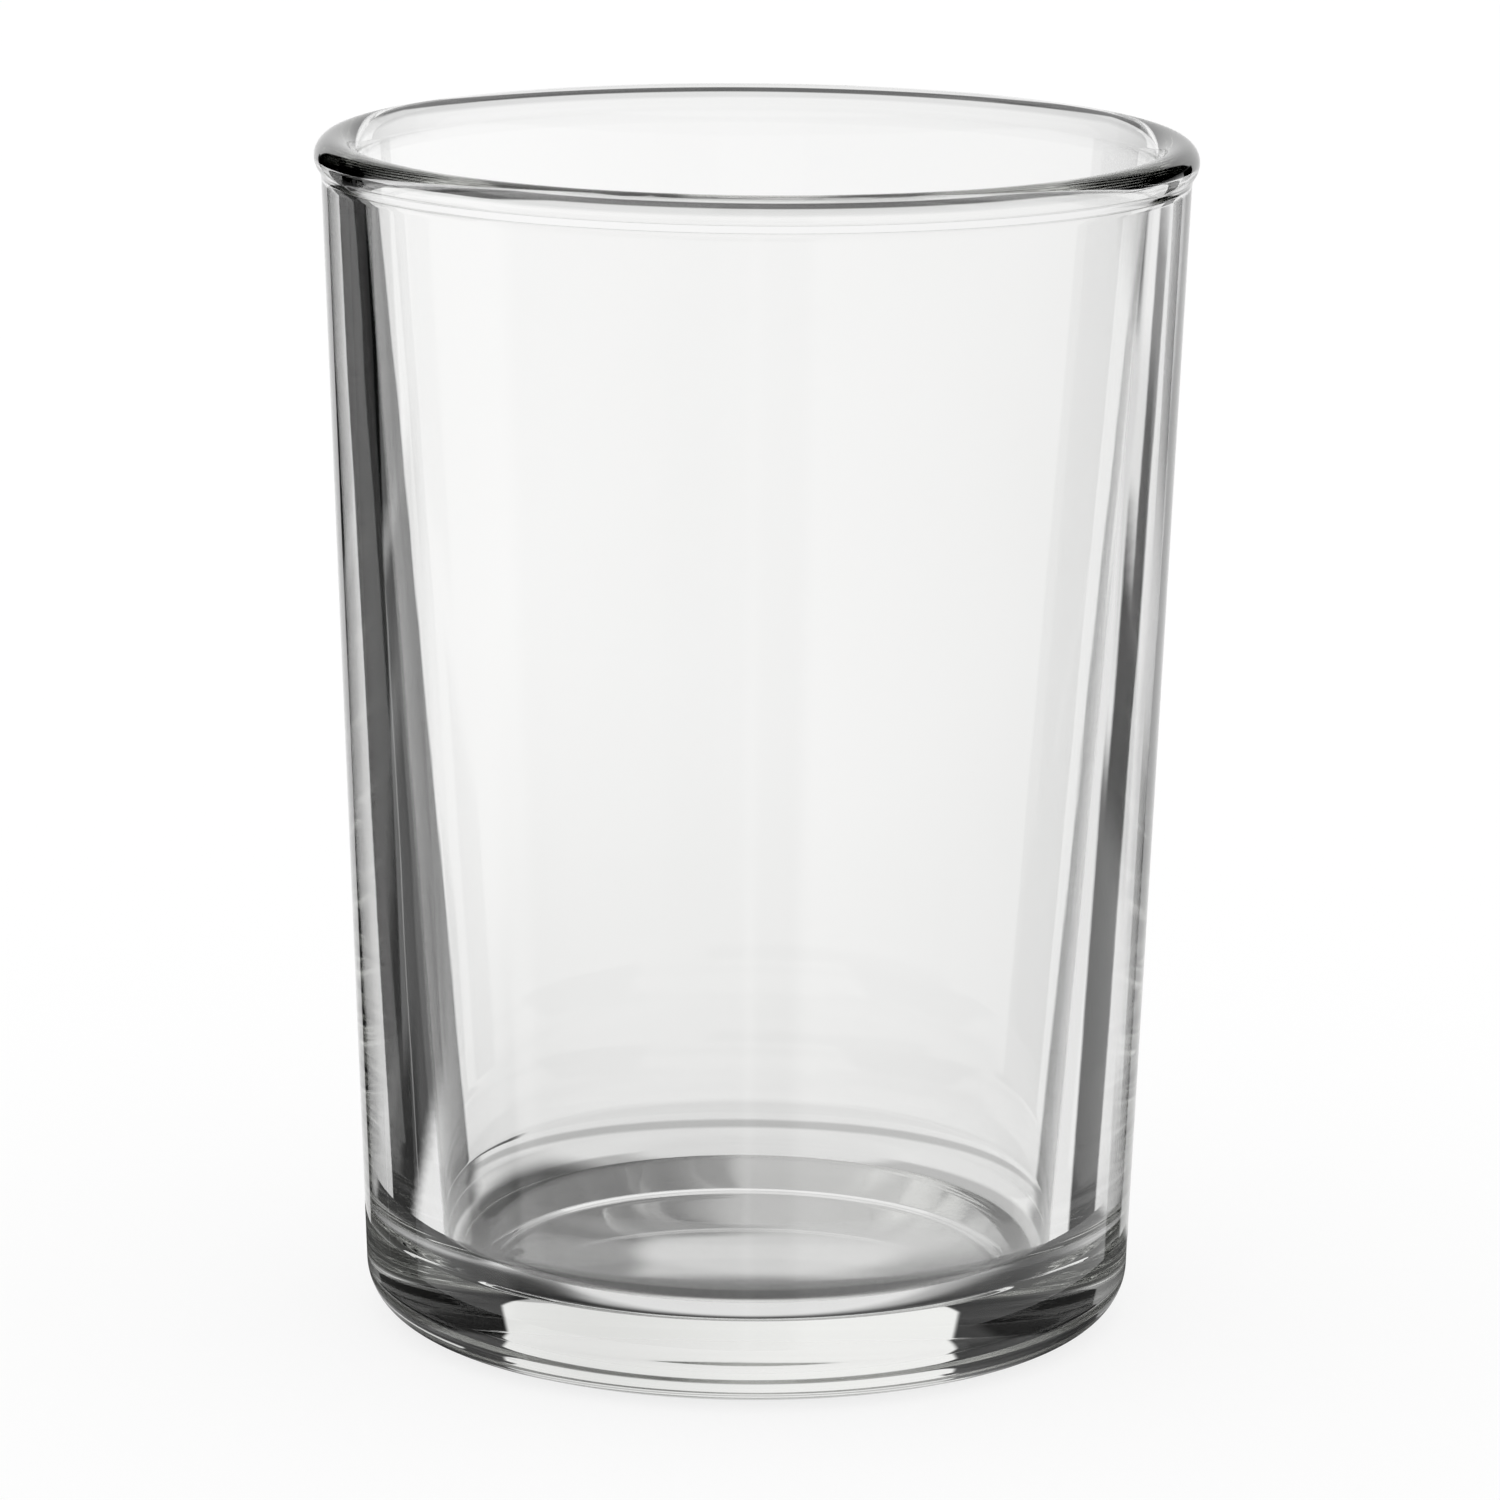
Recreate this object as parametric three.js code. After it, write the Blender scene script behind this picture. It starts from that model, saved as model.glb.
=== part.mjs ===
// Whisky tumbler: one piece of pressed clear glass, a body of revolution about +Z.
// Units are millimetres. The origin is the centre of the circle that the glass stands on.
import * as THREE from "three";

// Driving dimensions: outside
const HEIGHT = 100;            // table to the top of the rim
const RIM_RADIUS = 36.6;       // widest point of the rim bead
const BEAD_OVERHANG = 0.6;     // how far the bead stands out from the wall below it
const BEAD_RADIUS = 1.6;       // section of the bead on its outer side
const NECK_RADIUS = 2.0;       // hollow between the bead and the wall below it
const WALL_FOOT_RADIUS = 32.4; // outside of the wall at the top of the heel
const HEEL_RADIUS = 4.3;       // rounding between the wall and the standing ring
const RING_WIDTH = 1.0;        // flat standing ring, between the heel and the hollow underside
const PUNT_DEPTH = 0.9;        // rise of the hollow underside at its centre

// Driving dimensions: cavity
const LIP_WALL = 3.3;          // wall thickness under the bead, measured level
const FOOT_WALL = 6.4;         // wall thickness at the floor, measured level
const FLOOR_HEIGHT = 6.0;      // edge of the cavity floor above the table
const FLOOR_FILLET = 4.5;      // rounding between the cavity wall and its floor
const FLOOR_DISH = 0.6;        // how much lower the middle of the floor lies

// Facets
const TURN_STEPS = 80;         // round the axis
const CURVE_STEPS = 6;         // along each rounding of the section
const DISH_STEPS = 7;          // across the floor and across the underside

const RIGHT_ANGLE = Math.PI / 2;

// A point of the section: x is the radius from the axis and y is the height.
const point = (radius, height) => new THREE.Vector2(radius, height);

// Points of a circular arc of the section, its two ends included.
function arc(centre, radius, startAngle, endAngle) {
  const points = [];
  for (let i = 0; i <= CURVE_STEPS; i += 1) {
    const angle = startAngle + ((endAngle - startAngle) * i) / CURVE_STEPS;
    points.push(point(centre.x + radius * Math.cos(angle), centre.y + radius * Math.sin(angle)));
  }
  return points;
}

// The straight outer wall leans out by its draft from the top of the heel to the bead.
const wallFoot = point(WALL_FOOT_RADIUS, HEEL_RADIUS);
const wallTop = point(RIM_RADIUS - BEAD_OVERHANG, HEIGHT - 2 * BEAD_RADIUS);
const wallDraft = Math.atan2(wallTop.x - wallFoot.x, wallTop.y - wallFoot.y);
const wallRadiusAt = (height) => wallFoot.x + (height - wallFoot.y) * Math.tan(wallDraft);

// The cavity wall leans out more, so the glass is thicker towards its foot.
const cavityFoot = point(wallRadiusAt(FLOOR_HEIGHT) - FOOT_WALL, FLOOR_HEIGHT);
const cavityTop = point(wallTop.x - LIP_WALL, wallTop.y);
const cavityDraft = Math.atan2(cavityTop.x - cavityFoot.x, cavityTop.y - cavityFoot.y);
const cavityRadiusAt = (height) => cavityFoot.x + (height - cavityFoot.y) * Math.tan(cavityDraft);

// The heel is tangent to the outer wall and to the standing ring, which ends where the punt starts.
const heelCentre = point(wallFoot.x - HEEL_RADIUS / Math.cos(wallDraft), HEEL_RADIUS);
const puntRadius = heelCentre.x - RING_WIDTH;

// Underside: a shallow dome inside the standing ring.
function underside() {
  const points = [];
  for (let i = 0; i <= DISH_STEPS; i += 1) {
    const share = i / DISH_STEPS;
    points.push(point(puntRadius * share, PUNT_DEPTH * (1 - share ** 2)));
  }
  return points;
}

// Rim: a hollow neck leaves the wall, then the bead goes up to the crest and the lip rounds into the cavity.
function rim() {
  const beadCentre = point(RIM_RADIUS - BEAD_RADIUS, HEIGHT - BEAD_RADIUS);
  const alongWall = point(Math.sin(wallDraft), Math.cos(wallDraft));
  const awayFromWall = point(Math.cos(wallDraft), -Math.sin(wallDraft));
  const beadInset = beadCentre.clone().sub(wallFoot).dot(awayFromWall);
  const across = NECK_RADIUS - beadInset;
  const drop = Math.sqrt((BEAD_RADIUS + NECK_RADIUS) ** 2 - across ** 2);
  const neckCentre = beadCentre.clone().addScaledVector(awayFromWall, across).addScaledVector(alongWall, -drop);
  const neckToBead = Math.atan2(beadCentre.y - neckCentre.y, beadCentre.x - neckCentre.x);

  // The lip shares the bead's crest and is tangent to the cavity wall, which sets its radius.
  const lipReach = beadCentre.x - cavityRadiusAt(HEIGHT);
  const lipRadius = lipReach / (1 / Math.cos(cavityDraft) - Math.tan(cavityDraft));
  const lipCentre = point(beadCentre.x, HEIGHT - lipRadius);
  return [
    ...arc(neckCentre, NECK_RADIUS, Math.PI - wallDraft, neckToBead),
    ...arc(beadCentre, BEAD_RADIUS, neckToBead - Math.PI, RIGHT_ANGLE).slice(1),
    ...arc(lipCentre, lipRadius, RIGHT_ANGLE, Math.PI - cavityDraft).slice(1),
  ];
}

// Cavity: the fillet at the foot of its wall, then the floor, which dips smoothly to the axis.
function cavityBottom() {
  const filletHeight = FLOOR_HEIGHT + FLOOR_FILLET;
  const centre = point(cavityRadiusAt(filletHeight) - FLOOR_FILLET / Math.cos(cavityDraft), filletHeight);
  const points = arc(centre, FLOOR_FILLET, -cavityDraft, -RIGHT_ANGLE);
  for (let i = 1; i <= DISH_STEPS; i += 1) {
    const share = 1 - i / DISH_STEPS;
    const dip = (FLOOR_DISH * (1 + Math.cos(Math.PI * share))) / 2;
    points.push(point(centre.x * share, FLOOR_HEIGHT - dip));
  }
  return points;
}

// The section runs from the axis under the glass, up the outside, over the rim and back to the axis inside.
const heel = arc(heelCentre, HEEL_RADIUS, -RIGHT_ANGLE, -wallDraft);
const section = [...underside(), ...heel, ...rim(), ...cavityBottom()];

// LatheGeometry turns the section about Y, so the geometry is tipped to stand along +Z.
const geometry = new THREE.LatheGeometry(section, TURN_STEPS).rotateX(RIGHT_ANGLE);
const clearGlass = new THREE.MeshStandardMaterial({
  color: 0xe9efe9,
  roughness: 0.03,
  metalness: 0,
  transparent: true,
  opacity: 0.35,
});

const tumbler = new THREE.Mesh(geometry, clearGlass);
tumbler.name = "tumbler";

const glass = new THREE.Group();
glass.add(tumbler);

export default glass;
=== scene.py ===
"""Looks of the whisky tumbler: a smooth body of clear glass on the CAD frame, in a bright-field studio."""
import math

import bpy
from mathutils import Matrix, Vector


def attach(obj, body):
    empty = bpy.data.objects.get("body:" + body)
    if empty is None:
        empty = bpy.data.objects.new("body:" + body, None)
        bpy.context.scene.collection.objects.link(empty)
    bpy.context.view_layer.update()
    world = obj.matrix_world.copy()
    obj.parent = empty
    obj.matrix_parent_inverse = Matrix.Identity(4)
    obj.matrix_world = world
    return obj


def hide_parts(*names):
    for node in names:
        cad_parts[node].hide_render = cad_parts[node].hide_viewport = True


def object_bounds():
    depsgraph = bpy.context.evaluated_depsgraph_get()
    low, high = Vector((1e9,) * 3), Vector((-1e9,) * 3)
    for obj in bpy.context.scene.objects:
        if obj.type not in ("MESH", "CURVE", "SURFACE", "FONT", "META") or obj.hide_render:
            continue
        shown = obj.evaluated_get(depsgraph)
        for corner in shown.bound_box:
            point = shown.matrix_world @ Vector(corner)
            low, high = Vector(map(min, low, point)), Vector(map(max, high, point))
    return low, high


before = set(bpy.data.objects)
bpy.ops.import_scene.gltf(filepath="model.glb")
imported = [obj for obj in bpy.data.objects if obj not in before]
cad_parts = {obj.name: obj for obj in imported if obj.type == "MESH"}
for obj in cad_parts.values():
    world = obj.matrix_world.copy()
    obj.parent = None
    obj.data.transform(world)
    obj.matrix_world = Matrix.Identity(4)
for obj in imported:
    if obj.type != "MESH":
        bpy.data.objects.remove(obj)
cad_low, cad_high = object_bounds()

MM = 0.001
RIGHT_ANGLE = math.pi / 2

# Section of the glass in millimetres: the overall sizes come from the frame, the others are those of the CAD
HEIGHT = cad_high.z / MM
RIM_RADIUS = cad_high.x / MM
BEAD_OVERHANG = 0.6     # how far the bead stands out from the wall below it
BEAD_RADIUS = 1.6
NECK_RADIUS = 2.0       # hollow between the bead and the wall below it
WALL_FOOT_RADIUS = 32.4
HEEL_RADIUS = 4.3
RING_WIDTH = 1.0        # flat standing ring
RING_EDGE = 0.6         # easing of the ring's inner edge, on either side of it
PUNT_DEPTH = 0.9        # rise of the hollow underside at its centre
LIP_WALL = 3.3          # wall under the bead
FOOT_WALL = 6.4         # wall at the floor
FLOOR_HEIGHT = 6.0
FLOOR_FILLET = 4.5
FLOOR_DISH = 0.6        # how much lower the middle of the floor lies

# Fineness of the mesh
TURN_STEPS = 288
CURVE_STEPS = 20
DISH_STEPS = 24

# Glass: sizes and heights of its unevenness are in metres
GLASS_IOR = 1.52
TINT = (0.86, 0.865, 0.845)
TINT_DENSITY = 14.0
FILM_TINT = (0.98, 0.98, 0.975)
FILM_ROUGHNESS = 0.016
FILM_DETAIL = 4.0
WAVE_SIZE = 0.022
WAVE_HEIGHT = 0.00003
WAVE_DETAIL = 1.0
PEEL_SIZE = 0.0035
PEEL_HEIGHT = 0.0000012
PEEL_DETAIL = 3.0

# Camera, fitted to the outline of the glass in the photograph: millimetres, degrees and pixels
IMAGE_SIZE = 1500
PIXELS_PER_MM = 11.8795
CAMERA_DISTANCE = 603.8
CAMERA_TILT = 12.4414
CAMERA_ROLL = 0.537
CAMERA_TARGET = (-0.114, 0.0, 48.06)
SENSOR = 36.0

# Floor and room light, in metres where it is a length
FLOOR_RADIUS = 6.0
FLOOR_WHITE = 0.92
FLOOR_GLOW = 0.8        # share of plain white in what the camera sees of the floor
FLOOR_GAP = 0.00005     # below the standing ring, so that the two faces don't coincide
ROOM_LIGHT = 1.12       # level of the room that lights the floor

# Bounces: light goes through many glass faces before it leaves
GLASS_BOUNCES = 32
MIRROR_BOUNCES = 24

# Studio as the glass sees it, by direction in degrees. Azimuth 0 lies behind the glass and grows to the
# right, elevation 0 is the horizon, and each card covers those before it. A card is its level, its azimuths
# (None is all round), its elevations and the softness of its edges across and up.
ROOM = 0.88
WALLS = (
    (0.30, None, (0, 24), 1, 3),
    (0.08, None, (24, 54), 1, 3),
    (0.50, None, (54, 95), 1, 3),
)
OVERHEAD = (
    (0.80, (-80, -25), (52, 62), 8, 2),
    (0.02, (14, 95), (40, 82), 20, 4),
    (0.10, (95, 160), (44, 90), 15, 4),
)
FAR_TABLE = (
    (0.30, (-180, -105), (-36, -16), 4, 2),
    (0.30, (165, 180), (-36, -16), 4, 2),
    (0.05, (-96, -72), (-38, -23), 2, 1),
)
WINDOW = (
    (1.00, (-23.5, 28.5), (-45, 22), 0.5, 1),
    (0.88, (4, 28), (-45, 22), 12, 1),
    (0.50, (-23, 28), (22, 64), 0.5, 1.5),
    (0.80, (-23, 28), (-45, -18), 1, 4),
)
LEFT_FLAGS = (
    (0.35, (-66, -53), (-22, -17), 2, 0.5),
    (0.00, (-62, -43), (-22, -17), 0.5, 0.3),
    (0.00, (-58, -40), (-17, 42), 0.7, 0.5),
    (0.03, (-43, -22), (-22, -12), 0.5, 0.3),
    (0.03, (-43, -21.5), (-12, 2), 0.5, 0.5),
    (0.00, (-41, -23.5), (-8, 42), 0.5, 2),
)
RIGHT_FLAGS = (
    (0.00, (27, 42), (-45, -16.5), 1, 0.5),
    (0.00, (40, 46), (-45, -18.5), 1, 0.5),
    (0.03, (26, 34.5), (-17, -13.5), 1, 0.5),
    (0.05, (43, 60), (-15, -11), 1.5, 0.5),
    (0.00, (26.5, 36), (-11.5, 4), 0.5, 1),
    (0.00, (28.5, 70), (4, 42), 0.5, 1),
)
LOW_FLAGS = (
    (0.05, (-32, -10), (-36, -22.5), 1, 0.5),
    (0.12, (-30, 40), (-46, -31), 3, 2),
)
CARDS = WALLS + OVERHEAD + FAR_TABLE + WINDOW + LEFT_FLAGS + RIGHT_FLAGS + LOW_FLAGS

# Table as the glass sees it round its foot, in millimetres: painted light and shade in soft ellipses, each
# over those before it. A patch is its level, its centre, its half widths and the softness of its edge as a
# share of them.
TABLE_RADIUS = 46.0
TABLE = 0.85
# Painted shade to the left and right of the foot
SIDE_SHADES = (
    (0.03, (-48, -2), (14, 44), 0.10),
    (0.25, (46, -6), (12, 24), 0.15),
)
# Painted rings of light round the foot
LIGHT_RINGS = (
    (0.55, (0, 0), (42, 42), 0.02),
    (0.85, (0, 0), (38.5, 38.5), 0.02),
)
# Painted shade beside the wall
WALL_SHADES = (
    (0.05, (-40, -4), (11, 38), 0.12),
    (0.10, (40, -8), (10, 28), 0.12),
)
# Painted light and shade on the table under the base
UNDER_BASE = (
    (0.50, (0, 0), (33, 33), 0.02),
    (0.80, (2, 31), (14, 6), 0.2),
    (0.06, (-20, 2), (11, 25), 0.15),
    (0.06, (22, -9), (12, 11), 0.4),
    (0.20, (-8, 13), (10, 6), 0.3),
    (0.02, (0, -13), (27, 7), 0.25),
    (0.80, (0, -27), (22, 6), 0.2),
    (0.62, (2, 2), (11.5, 6.5), 0.2),
)
PATCHES = SIDE_SHADES + LIGHT_RINGS + WALL_SHADES + UNDER_BASE


class SectionPoint:
    """A point of the section with the direction that faces out of the glass there."""

    def __init__(self, radius, height, out_radius, out_height):
        length = math.hypot(out_radius, out_height)
        self.radius = radius
        self.height = height
        self.out_radius = out_radius / length
        self.out_height = out_height / length


def arc(centre, radius, start, end, bulge=1):
    """Arc of the section. A bulge of -1 is a hollow, whose centre lies outside the glass."""
    points = []
    for i in range(CURVE_STEPS + 1):
        angle = start + (end - start) * i / CURVE_STEPS
        across, up = math.cos(angle), math.sin(angle)
        place = (centre.x + radius * across, centre.y + radius * up)
        points.append(SectionPoint(*place, bulge * across, bulge * up))
    return points


def section():
    """The CAD section from the axis below, up the outside, over the rim and back to the axis on the floor."""
    wall_foot = Vector((WALL_FOOT_RADIUS, HEEL_RADIUS))
    wall_top = Vector((RIM_RADIUS - BEAD_OVERHANG, HEIGHT - 2 * BEAD_RADIUS))
    draft = math.atan2(wall_top.x - wall_foot.x, wall_top.y - wall_foot.y)
    foot_radius = wall_foot.x + (FLOOR_HEIGHT - wall_foot.y) * math.tan(draft) - FOOT_WALL
    top_radius = wall_top.x - LIP_WALL
    slope = (top_radius - foot_radius) / (wall_top.y - FLOOR_HEIGHT)
    cavity_draft = math.atan(slope)

    def cavity_radius(height):
        return foot_radius + (height - FLOOR_HEIGHT) * slope

    heel_centre = Vector((wall_foot.x - HEEL_RADIUS / math.cos(draft), HEEL_RADIUS))
    heel = arc(heel_centre, HEEL_RADIUS, -RIGHT_ANGLE, -draft)

    bead_centre = Vector((RIM_RADIUS - BEAD_RADIUS, HEIGHT - BEAD_RADIUS))
    along = Vector((math.sin(draft), math.cos(draft)))
    away = Vector((math.cos(draft), -math.sin(draft)))
    across = NECK_RADIUS - (bead_centre - wall_foot).dot(away)
    drop = math.sqrt((BEAD_RADIUS + NECK_RADIUS) ** 2 - across ** 2)
    neck_centre = bead_centre + across * away - drop * along
    to_bead = math.atan2(bead_centre.y - neck_centre.y, bead_centre.x - neck_centre.x)
    neck = arc(neck_centre, NECK_RADIUS, math.pi - draft, to_bead, bulge=-1)
    bead = arc(bead_centre, BEAD_RADIUS, to_bead - math.pi, RIGHT_ANGLE)

    lip_reach = bead_centre.x - cavity_radius(HEIGHT)
    lip_radius = lip_reach / (1 / math.cos(cavity_draft) - slope)
    lip_centre = Vector((bead_centre.x, HEIGHT - lip_radius))
    lip = arc(lip_centre, lip_radius, RIGHT_ANGLE, math.pi - cavity_draft)

    fillet_height = FLOOR_HEIGHT + FLOOR_FILLET
    fillet_radius = cavity_radius(fillet_height) - FLOOR_FILLET / math.cos(cavity_draft)
    fillet_centre = Vector((fillet_radius, fillet_height))
    fillet = arc(fillet_centre, FLOOR_FILLET, -cavity_draft, -RIGHT_ANGLE, bulge=-1)

    punt = underside(heel_centre.x - RING_WIDTH)
    return punt + heel + neck + bead[1:] + lip[1:] + fillet + cavity_floor(fillet_radius)[1:]


def underside(punt_radius):
    """Shallow dome inside the standing ring, with its edge eased into the ring."""
    points = []
    dome_end = punt_radius - RING_EDGE

    def dome(radius):
        share = radius / punt_radius
        return PUNT_DEPTH * (1 - share ** 2), -2 * PUNT_DEPTH * share / punt_radius

    for i in range(DISH_STEPS + 1):
        radius = dome_end * i / DISH_STEPS
        height, rise = dome(radius)
        points.append(SectionPoint(radius, height, rise, -1))
    start_height, rise = dome(dome_end)
    for i in range(1, CURVE_STEPS + 1):
        share = i / CURVE_STEPS
        radius = dome_end + 2 * RING_EDGE * share
        height = start_height * (1 - share) ** 2
        slope = -start_height * (1 - share) / RING_EDGE
        points.append(SectionPoint(radius, height, slope, -1))
    return points


def cavity_floor(floor_radius):
    """Floor of the cavity, which dips smoothly to the axis."""
    points = []
    for i in range(DISH_STEPS + 1):
        share = 1 - i / DISH_STEPS
        dip = FLOOR_DISH * (1 + math.cos(math.pi * share)) / 2
        rise = FLOOR_DISH * math.pi * math.sin(math.pi * share) / (2 * floor_radius)
        points.append(SectionPoint(floor_radius * share, FLOOR_HEIGHT - dip, -rise, 1))
    return points


def turned_mesh(name, points):
    """Body of revolution of the section, in metres, shaded with the section's own outward directions."""
    vertices, normals, rings = [], [], []
    for point in points:
        turns = TURN_STEPS if point.radius > 0 else 1
        rings.append([len(vertices) + k for k in range(turns)])
        for k in range(turns):
            angle = 2 * math.pi * k / TURN_STEPS
            x, y = math.cos(angle), math.sin(angle)
            vertices.append((MM * point.radius * x, MM * point.radius * y, MM * point.height))
            normals.append((point.out_radius * x, point.out_radius * y, point.out_height))
    faces = []
    for lower, upper in zip(rings, rings[1:]):
        for k in range(TURN_STEPS):
            corners = [lower[k % len(lower)], lower[(k + 1) % len(lower)]]
            corners += [upper[(k + 1) % len(upper)], upper[k % len(upper)]]
            faces.append(list(dict.fromkeys(corners)))
    mesh = bpy.data.meshes.new(name)
    mesh.from_pydata(vertices, [], faces)
    mesh.shade_smooth()
    mesh.normals_split_custom_set_from_vertices(normals)
    return mesh


def clear_glass():
    """Pressed soda glass: a faint tint in its depth, slow waves from the mould and a fine, polished peel."""
    material = bpy.data.materials.new("clear_glass")
    material.use_nodes = True
    nodes, links = material.node_tree.nodes, material.node_tree.links
    nodes.clear()
    output = nodes.new("ShaderNodeOutputMaterial")
    glass = nodes.new("ShaderNodeBsdfPrincipled")
    glass.inputs["IOR"].default_value = GLASS_IOR
    glass.inputs["Transmission Weight"].default_value = 1.0
    links.new(glass.outputs["BSDF"], output.inputs["Surface"])

    depth = nodes.new("ShaderNodeVolumeAbsorption")
    depth.inputs["Color"].default_value = (*TINT, 1)
    depth.inputs["Density"].default_value = TINT_DENSITY
    links.new(depth.outputs["Volume"], output.inputs["Volume"])

    place = nodes.new("ShaderNodeTexCoord")

    def noise(size, detail):
        texture = nodes.new("ShaderNodeTexNoise")
        texture.inputs["Scale"].default_value = 1 / size
        texture.inputs["Detail"].default_value = detail
        links.new(place.outputs["Object"], texture.inputs["Vector"])
        return texture.outputs["Fac"]

    def bump(height, distance, below=None):
        node = nodes.new("ShaderNodeBump")
        node.inputs["Strength"].default_value = 1.0
        node.inputs["Distance"].default_value = distance
        links.new(height, node.inputs["Height"])
        if below:
            links.new(below, node.inputs["Normal"])
        return node.outputs["Normal"]

    waves = bump(noise(WAVE_SIZE, WAVE_DETAIL), WAVE_HEIGHT)
    peel = bump(noise(PEEL_SIZE, PEEL_DETAIL), PEEL_HEIGHT, waves)
    links.new(peel, glass.inputs["Normal"])

    film = nodes.new("ShaderNodeMapRange")
    film.inputs["To Min"].default_value = 0.0
    film.inputs["To Max"].default_value = FILM_ROUGHNESS
    links.new(noise(PEEL_SIZE, FILM_DETAIL), film.inputs["Value"])
    links.new(film.outputs["Result"], glass.inputs["Roughness"])

    clean = nodes.new("ShaderNodeMix")
    clean.data_type = "RGBA"
    clean.inputs["A"].default_value = (1.0, 1.0, 1.0, 1)
    clean.inputs["B"].default_value = (*FILM_TINT, 1)
    links.new(noise(WAVE_SIZE, FILM_DETAIL), clean.inputs["Factor"])
    links.new(clean.outputs["Result"], glass.inputs["Base Color"])
    return material


class Graph:
    """Short ways to add the nodes that the cards and the table share."""

    def __init__(self, tree):
        self.nodes = tree.nodes
        self.links = tree.links
        self.nodes.clear()

    def put(self, socket, value):
        if isinstance(value, bpy.types.NodeSocket):
            self.links.new(value, socket)
        else:
            socket.default_value = value

    def maths(self, operation, *values):
        node = self.nodes.new("ShaderNodeMath")
        node.operation = operation
        for socket, value in zip(node.inputs, values):
            self.put(socket, value)
        return node.outputs["Value"]

    def vector_maths(self, operation, *values):
        node = self.nodes.new("ShaderNodeVectorMath")
        node.operation = operation
        for socket, value in zip(node.inputs, values):
            self.put(socket, value)
        return node.outputs["Value" if operation == "LENGTH" else "Vector"]

    def ramp(self, value, edge, soft, start, end):
        """Smooth step from start to end where the value passes the edge."""
        node = self.nodes.new("ShaderNodeMapRange")
        node.interpolation_type = "SMOOTHSTEP"
        self.put(node.inputs["Value"], value)
        self.put(node.inputs["From Min"], edge - soft)
        self.put(node.inputs["From Max"], edge + soft)
        self.put(node.inputs["To Min"], start)
        self.put(node.inputs["To Max"], end)
        return node.outputs["Result"]

    def band(self, value, edges, soft):
        """1 between the two edges and 0 beyond them."""
        rise = self.ramp(value, edges[0], soft, 0, 1)
        fall = self.ramp(value, edges[1], soft, 1, 0)
        return self.maths("MULTIPLY", rise, fall)

    def mix(self, factor, below, above):
        node = self.nodes.new("ShaderNodeMix")
        self.put(node.inputs["Factor"], factor)
        self.put(node.inputs["A"], below)
        self.put(node.inputs["B"], above)
        return node.outputs["Result"]


def studio_world():
    """White room to the camera and the floor; to what the glass bends or mirrors, the cards of the studio."""
    world = bpy.data.worlds.new("studio")
    world.use_nodes = True
    world.cycles.sampling_method = "NONE"
    bpy.context.scene.world = world
    graph = Graph(world.node_tree)
    axes = graph.nodes.new("ShaderNodeSeparateXYZ")
    graph.links.new(graph.nodes.new("ShaderNodeTexCoord").outputs["Generated"], axes.inputs["Vector"])
    azimuth = graph.maths("DEGREES", graph.maths("ARCTAN2", axes.outputs["X"], axes.outputs["Y"]))
    elevation = graph.maths("DEGREES", graph.maths("ARCSINE", axes.outputs["Z"]))
    level = ROOM
    for card_level, azimuths, elevations, soft_across, soft_up in CARDS:
        cover = graph.band(elevation, elevations, soft_up)
        if azimuths:
            cover = graph.maths("MULTIPLY", cover, graph.band(azimuth, azimuths, soft_across))
        level = graph.mix(cover, level, card_level)

    rays = graph.nodes.new("ShaderNodeLightPath")
    by_glass = graph.maths("MAXIMUM", rays.outputs["Is Glossy Ray"], rays.outputs["Is Transmission Ray"])
    lit = graph.mix(rays.outputs["Is Camera Ray"], ROOM_LIGHT, 1.0)
    background = graph.nodes.new("ShaderNodeBackground")
    background.inputs["Color"].default_value = (1, 1, 1, 1)
    graph.links.new(graph.mix(by_glass, lit, level), background.inputs["Strength"])
    output = graph.nodes.new("ShaderNodeOutputWorld")
    graph.links.new(background.outputs["Background"], output.inputs["Surface"])


def floor_white():
    """White paint that keeps a faint shadow of the glass."""
    material = bpy.data.materials.new("floor_white")
    material.use_nodes = True
    graph = Graph(material.node_tree)
    paint = graph.nodes.new("ShaderNodeBsdfDiffuse")
    paint.inputs["Color"].default_value = (FLOOR_WHITE, FLOOR_WHITE, FLOOR_WHITE, 1)
    white = graph.nodes.new("ShaderNodeEmission")
    rays = graph.nodes.new("ShaderNodeLightPath")
    mixed = graph.nodes.new("ShaderNodeMixShader")
    graph.links.new(graph.maths("MULTIPLY", rays.outputs["Is Camera Ray"], FLOOR_GLOW), mixed.inputs["Fac"])
    graph.links.new(paint.outputs["BSDF"], mixed.inputs[1])
    graph.links.new(white.outputs["Emission"], mixed.inputs[2])
    output = graph.nodes.new("ShaderNodeOutputMaterial")
    graph.links.new(mixed.outputs["Shader"], output.inputs["Surface"])
    return material


def painted_table_light_and_shade():
    """Painted light and shade on the table round the glass's foot, standing for what the glass throws there;
    it glows, seen only through the glass.
    """
    material = bpy.data.materials.new("painted_table_light_and_shade")
    material.use_nodes = True
    material.cycles.emission_sampling = "NONE"
    graph = Graph(material.node_tree)
    place = graph.nodes.new("ShaderNodeTexCoord").outputs["Object"]
    level = TABLE
    for patch_level, centre, half_widths, soft in PATCHES:
        offset = graph.vector_maths("SUBTRACT", place, (MM * centre[0], MM * centre[1], 0))
        share = graph.vector_maths("DIVIDE", offset, (MM * half_widths[0], MM * half_widths[1], 1))
        cover = graph.ramp(graph.vector_maths("LENGTH", share), 1, soft, 1, 0)
        level = graph.mix(cover, level, patch_level)
    light = graph.nodes.new("ShaderNodeEmission")
    graph.links.new(level, light.inputs["Strength"])
    output = graph.nodes.new("ShaderNodeOutputMaterial")
    graph.links.new(light.outputs["Emission"], output.inputs["Surface"])
    return material


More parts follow.
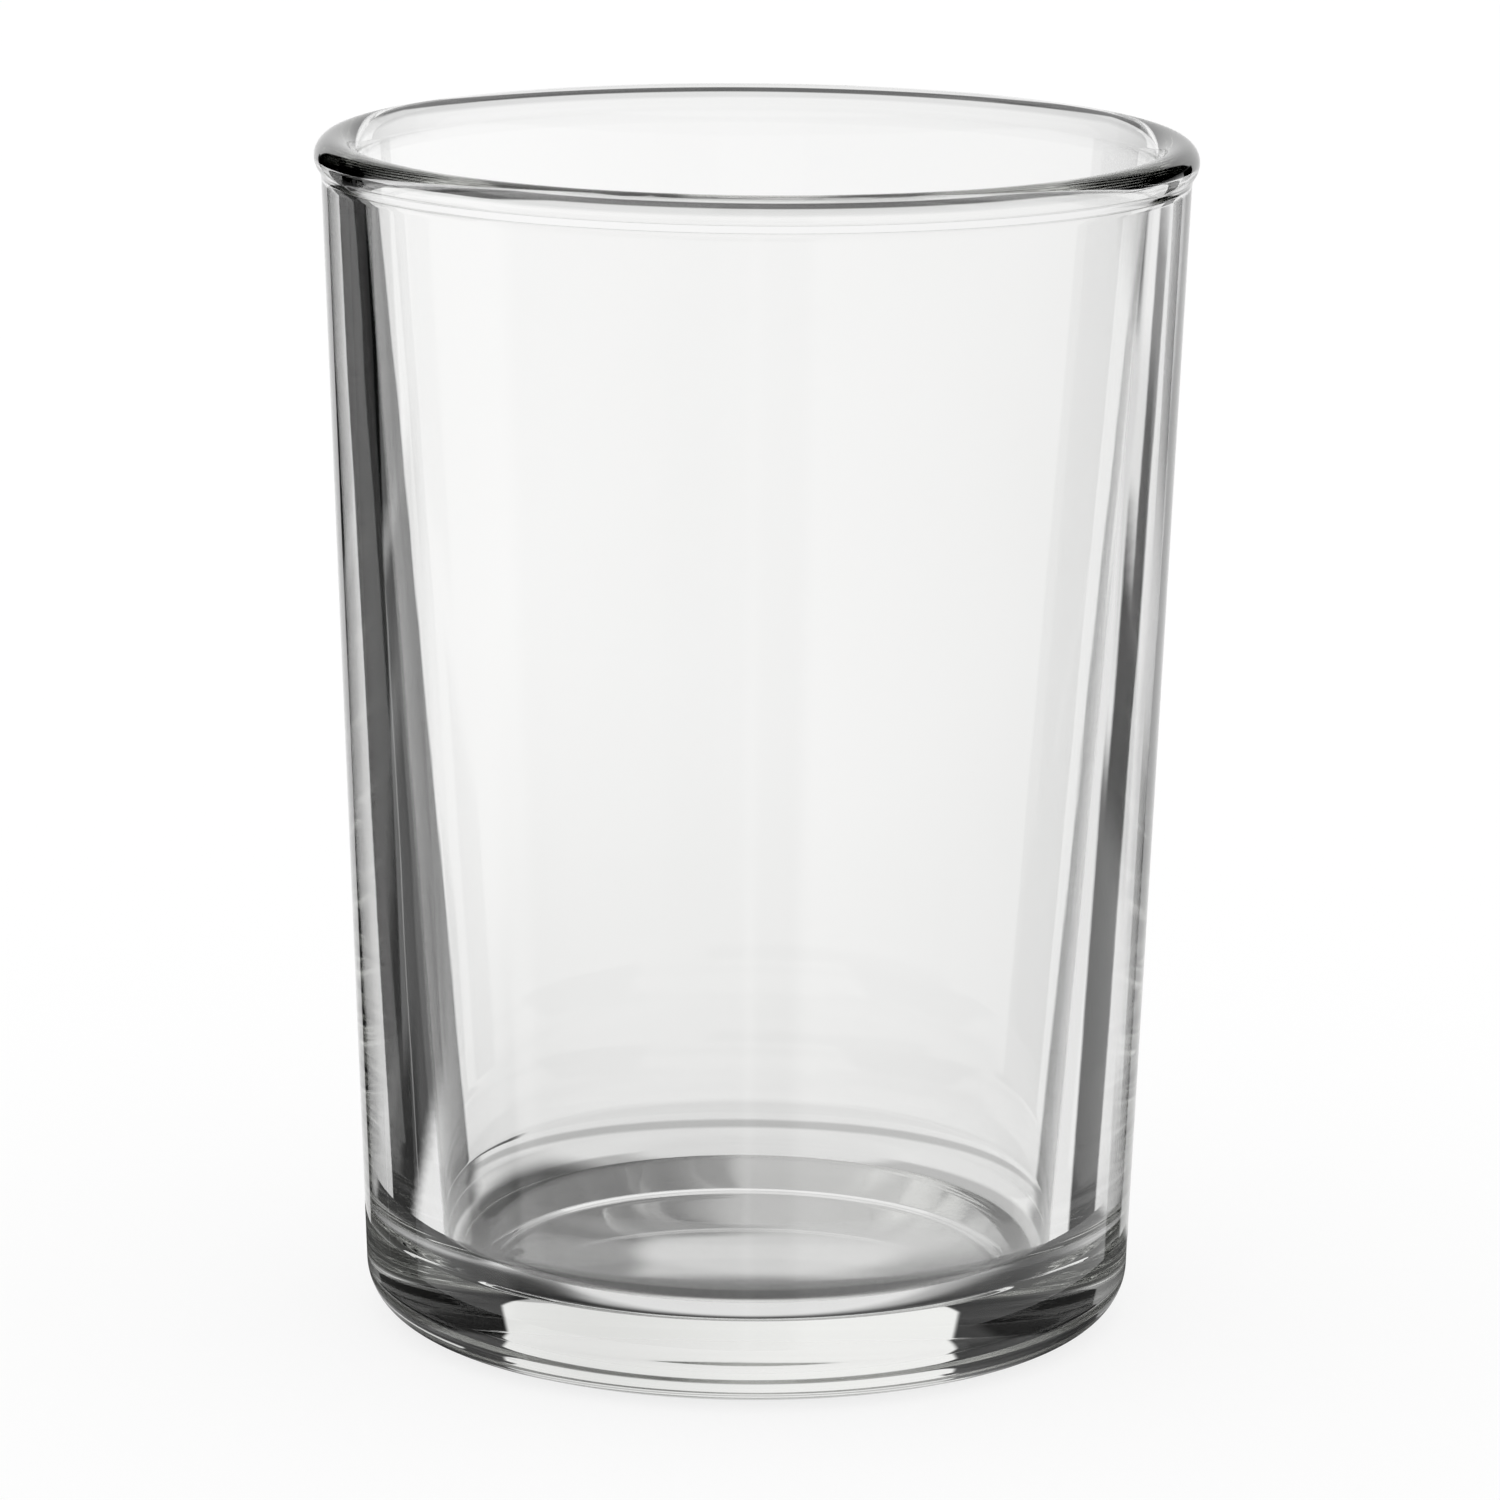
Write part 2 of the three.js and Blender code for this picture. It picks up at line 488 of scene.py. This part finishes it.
def flat_disc(name, radius, material):
    """Flat disc just under the foot of the glass."""
    turn = [2 * math.pi * k / TURN_STEPS for k in range(TURN_STEPS)]
    vertices = [(radius * math.cos(angle), radius * math.sin(angle), 0) for angle in turn]
    mesh = bpy.data.meshes.new(name)
    mesh.from_pydata(vertices, [], [tuple(range(TURN_STEPS))])
    mesh.materials.append(material)
    disc = bpy.data.objects.new(name, mesh)
    disc.location.z = -FLOOR_GAP
    bpy.context.scene.collection.objects.link(disc)
    return disc


def studio_floor():
    """Plain white floor; what the glass bends or mirrors shows the painted light and shade of the table and
    the cards instead.
    """
    floor = flat_disc("floor", FLOOR_RADIUS, floor_white())
    floor.visible_transmission = False
    floor.visible_glossy = False
    # Glowing disc of painted light and shade under the glass, seen only through the glass
    table = flat_disc("painted_table_under_glass", MM * TABLE_RADIUS, painted_table_light_and_shade())
    table.visible_camera = False
    table.visible_diffuse = False
    table.visible_shadow = False


def photo_camera():
    """Camera of the photograph: it looks down at the glass and leans a little to one side."""
    tilt, roll = math.radians(CAMERA_TILT), math.radians(CAMERA_ROLL)
    back = Vector((0, -math.cos(tilt), math.sin(tilt)))
    level = Vector((1, 0, 0))
    upright = Vector((0, math.sin(tilt), math.cos(tilt)))
    right = math.cos(roll) * level + math.sin(roll) * upright
    up = math.cos(roll) * upright - math.sin(roll) * level
    place = MM * (Vector(CAMERA_TARGET) + CAMERA_DISTANCE * back)
    data = bpy.data.cameras.new("photo_camera")
    data.sensor_width = SENSOR
    data.lens = SENSOR * PIXELS_PER_MM * CAMERA_DISTANCE / IMAGE_SIZE
    camera = bpy.data.objects.new("photo_camera", data)
    camera.matrix_world = Matrix((right, up, back)).transposed().to_4x4()
    camera.matrix_world.translation = place
    bpy.context.scene.collection.objects.link(camera)
    bpy.context.scene.camera = camera


glass_body = bpy.data.objects.new("glass_body", turned_mesh("glass_body", section()))
glass_body.data.materials.append(clear_glass())
bpy.context.scene.collection.objects.link(glass_body)
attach(glass_body, "root")
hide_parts("tumbler")

studio_world()
studio_floor()
photo_camera()

scene = bpy.context.scene
scene.view_settings.view_transform = "Standard"
scene.cycles.max_bounces = GLASS_BOUNCES
scene.cycles.transmission_bounces = GLASS_BOUNCES
scene.cycles.glossy_bounces = MIRROR_BOUNCES
